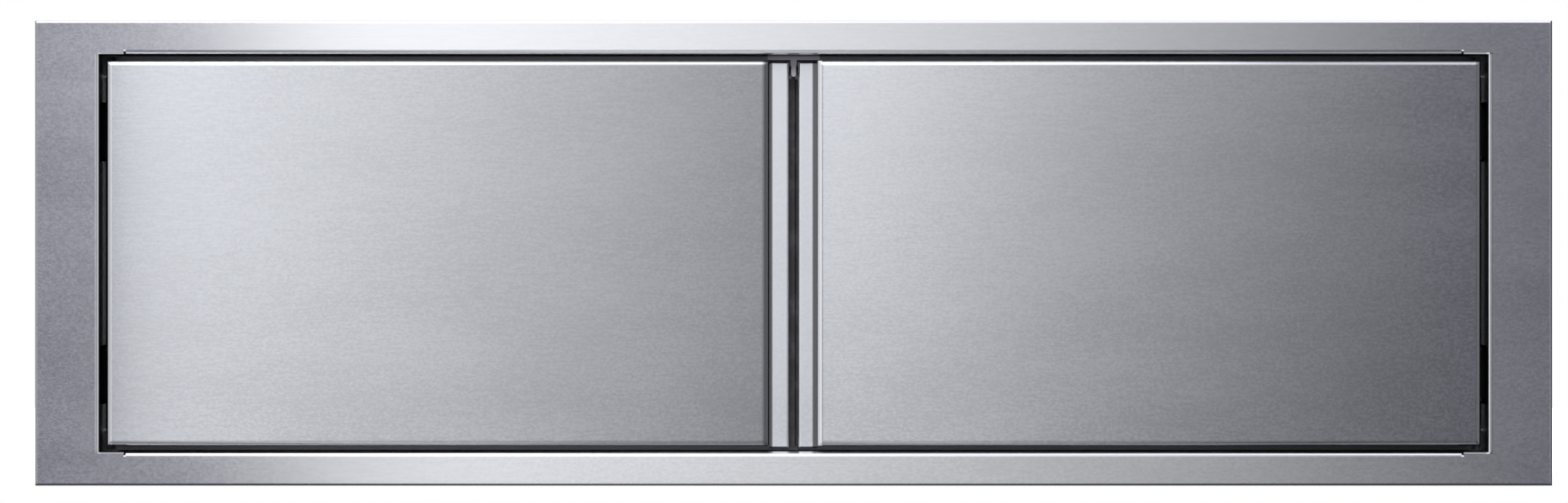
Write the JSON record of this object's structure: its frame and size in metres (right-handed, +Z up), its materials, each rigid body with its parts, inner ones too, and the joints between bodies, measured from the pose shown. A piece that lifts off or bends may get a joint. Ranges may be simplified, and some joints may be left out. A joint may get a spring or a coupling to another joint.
{
  "type": "double access door",
  "caption": "Low, wide brushed-steel double access door: flanged frame, finger-pull doors on concealed gooseneck hinges, with gaskets and magnetic catches.",
  "frame": {"origin": "centre of the opening on the mounting plane, the plane of the flange return's rear edge", "axes": "+X to the viewer's right along the width, +Y backwards into the cabinet, +Z up"},
  "size_m": [1.067, 0.0502, 0.327],
  "materials": {
    "brushed_stainless": "horizontal brushed grain",
    "plain_steel": "plain bright",
    "black_coated_steel": "satin black coating",
    "black_plastic": "moulded, matt",
    "black_rubber": "extruded rubber",
    "white_nylon": "moulded nylon"
  },
  "bodies": {
    "frame": {"face_frame": "brushed_stainless", "top_jamb": "brushed_stainless", "bottom_jamb": "brushed_stainless", "left_jamb": "brushed_stainless", "right_jamb": "brushed_stainless", "top_gasket": "black_rubber", "bottom_gasket": "black_rubber", "left_gasket": "black_rubber", "right_gasket": "black_rubber", "centre_strike": "plain_steel", "left_catch_magnet": "black_plastic", "right_catch_magnet": "black_plastic", "catch_screws": "plain_steel", "left_hinge_covers": "black_plastic", "left_upper_hinge_bracket": "black_coated_steel", "left_upper_hinge_pin": "plain_steel", "left_lower_hinge_bracket": "black_coated_steel", "left_lower_hinge_pin": "plain_steel", "right_hinge_covers": "black_plastic", "right_upper_hinge_bracket": "black_coated_steel", "right_upper_hinge_pin": "plain_steel", "right_lower_hinge_bracket": "black_coated_steel", "right_lower_hinge_pin": "plain_steel"},
    "left_door": {"left_door_skin": "brushed_stainless", "left_pull_channel": "brushed_stainless", "left_door_liner": "brushed_stainless", "left_door_stiffener": "brushed_stainless", "left_upper_hinge_arm": "black_coated_steel", "left_lower_hinge_arm": "black_coated_steel", "left_hinge_sleeves": "white_nylon", "left_hinge_backing_plates": "plain_steel", "left_hinge_screws": "plain_steel", "left_keeper_plate": "plain_steel", "left_meeting_seal": "black_rubber"},
    "right_door": {"right_door_skin": "brushed_stainless", "right_pull_channel": "brushed_stainless", "right_door_liner": "brushed_stainless", "right_door_stiffener": "brushed_stainless", "right_upper_hinge_arm": "black_coated_steel", "right_lower_hinge_arm": "black_coated_steel", "right_hinge_sleeves": "white_nylon", "right_hinge_backing_plates": "plain_steel", "right_hinge_screws": "plain_steel", "right_keeper_plate": "plain_steel", "right_meeting_seal": "black_rubber"}
  },
  "joints": [
    {"name": "left_door_hinge", "type": "hinge", "parent": "frame", "child": "left_door", "pos_m": [-0.5, 0.001, 0], "axis": [0, 0, -1], "range_deg": [0, 105]},
    {"name": "right_door_hinge", "type": "hinge", "parent": "frame", "child": "right_door", "pos_m": [0.5, 0.001, 0], "axis": [0, 0, 1], "range_deg": [0, 105]}
  ]
}
